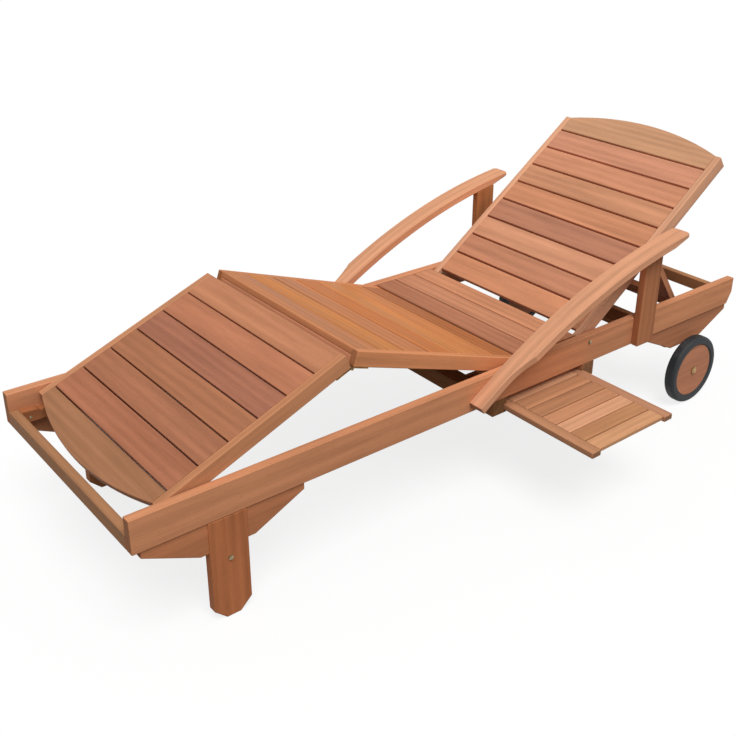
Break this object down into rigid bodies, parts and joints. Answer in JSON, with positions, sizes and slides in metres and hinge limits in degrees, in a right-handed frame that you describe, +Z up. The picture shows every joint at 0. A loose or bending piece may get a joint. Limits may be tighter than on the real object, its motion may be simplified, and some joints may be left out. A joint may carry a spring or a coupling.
{
  "type": "wooden sun lounger",
  "caption": "Slatted hardwood sun lounger with a propped reclining back, folding knee lift, bowed arms, a side tray that slides out and wheels at the head end.",
  "frame": {"origin": "on the floor under the middle of the drawn pose's box with the tray out: half the rails' length from the foot end, and midway between the tray's outer edge and the far arm's outer face", "axes": "+X along the rails from foot to head, +Y across and away from the side the tray draws out on, +Z up"},
  "size_m": [2, 1.007, 0.7606],
  "materials": {
    "frame_wood": "oiled, satin",
    "slat_wood": "oiled, satin",
    "arm_wood": "oiled, satin",
    "wheel_wood": "oiled, satin",
    "fittings_steel": "plain zinc-grey steel",
    "hinge_brass": "dull brass",
    "tyre_rubber": "smooth dark grey"
  },
  "bodies": {
    "frame": {"side_rail_left": "frame_wood", "side_rail_right": "frame_wood", "foot_crossbar": "frame_wood", "rear_crossbar": "frame_wood", "head_crossbar": "frame_wood", "foot_block_left": "frame_wood", "foot_block_right": "frame_wood", "head_block_left": "frame_wood", "head_block_right": "frame_wood", "front_leg_left": "frame_wood", "front_leg_right": "frame_wood", "leg_stretcher": "frame_wood", "head_stretcher": "frame_wood", "axle_hanger_left": "frame_wood", "axle_hanger_right": "frame_wood", "arm_post_left": "frame_wood", "arm_post_right": "frame_wood", "seat_ledger_left": "frame_wood", "seat_ledger_right": "frame_wood", "back_rack_left": "frame_wood", "back_rack_right": "frame_wood", "knee_rack_left": "frame_wood", "knee_rack_right": "frame_wood", "tray_runner_front": "frame_wood", "tray_runner_rear": "frame_wood", "seat_slat_front": "slat_wood", "seat_slat_middle": "slat_wood", "seat_slat_rear": "slat_wood", "arm_left": "arm_wood", "arm_right": "arm_wood", "axle": "fittings_steel", "axle_fittings": "fittings_steel", "back_pivot_bolts": "fittings_steel", "thigh_pivot_bolts": "fittings_steel", "frame_bolts": "fittings_steel"},
    "backrest": {"back_stile_left": "frame_wood", "back_stile_right": "frame_wood", "back_slats": "slat_wood", "back_top_slat": "slat_wood", "prop_pivot_bolts": "fittings_steel"},
    "back_prop": {"prop_arm_left": "frame_wood", "prop_arm_right": "frame_wood", "prop_foot_board": "frame_wood"},
    "thigh_panel": {"thigh_stile_left": "frame_wood", "thigh_stile_right": "frame_wood", "thigh_slats": "slat_wood", "knee_rail": "frame_wood", "knee_hinge_thigh": "hinge_brass"},
    "calf_panel": {"calf_stile_left": "frame_wood", "calf_stile_right": "frame_wood", "calf_slats": "slat_wood", "calf_foot_slat": "slat_wood", "knee_hinge_calf": "hinge_brass"},
    "tray": {"tray_stile_front": "frame_wood", "tray_stile_rear": "frame_wood", "tray_slats": "slat_wood"},
    "wheel_left": {"wheel_disc_left": "wheel_wood", "tyre_left": "tyre_rubber"},
    "wheel_right": {"wheel_disc_right": "wheel_wood", "tyre_right": "tyre_rubber"}
  },
  "joints": [
    {"name": "back_recline", "type": "hinge", "parent": "frame", "child": "backrest", "pos_m": [0.33, 0.1185, 0.321], "axis": [0, -1, 0], "range_deg": [-35.8, 9]},
    {"name": "prop_swing", "type": "hinge", "parent": "backrest", "child": "back_prop", "pos_m": [0.61914, 0.1185, 0.51844], "axis": [0, -1, 0], "range_deg": [-22.7, 90.2]},
    {"name": "thigh_lift", "type": "hinge", "parent": "frame", "child": "thigh_panel", "pos_m": [0.074, 0.1185, 0.321], "axis": [0, 1, 0], "range_deg": [-19.2, 0]},
    {"name": "knee_fold", "type": "hinge", "parent": "thigh_panel", "child": "calf_panel", "pos_m": [-0.44494, 0.1185, 0.47736], "axis": [0, 1, 0], "range_deg": [0, 41.5]},
    {"name": "tray_slide", "type": "slide", "parent": "frame", "child": "tray", "axis": [0, 1, 0], "range_m": [0, 0.297]},
    {"name": "wheel_left_spin", "type": "hinge", "parent": "frame", "child": "wheel_left", "pos_m": [0.786, -0.2355, 0.106], "axis": [0, 1, 0], "continuous": true},
    {"name": "wheel_right_spin", "type": "hinge", "parent": "frame", "child": "wheel_right", "pos_m": [0.786, 0.4725, 0.106], "axis": [0, 1, 0], "continuous": true}
  ],
  "couplings": [
    {"joint": "prop_swing", "follows": "back_recline", "ratio": -2.5161},
    {"joint": "knee_fold", "follows": "thigh_lift", "ratio": -2.1527}
  ]
}
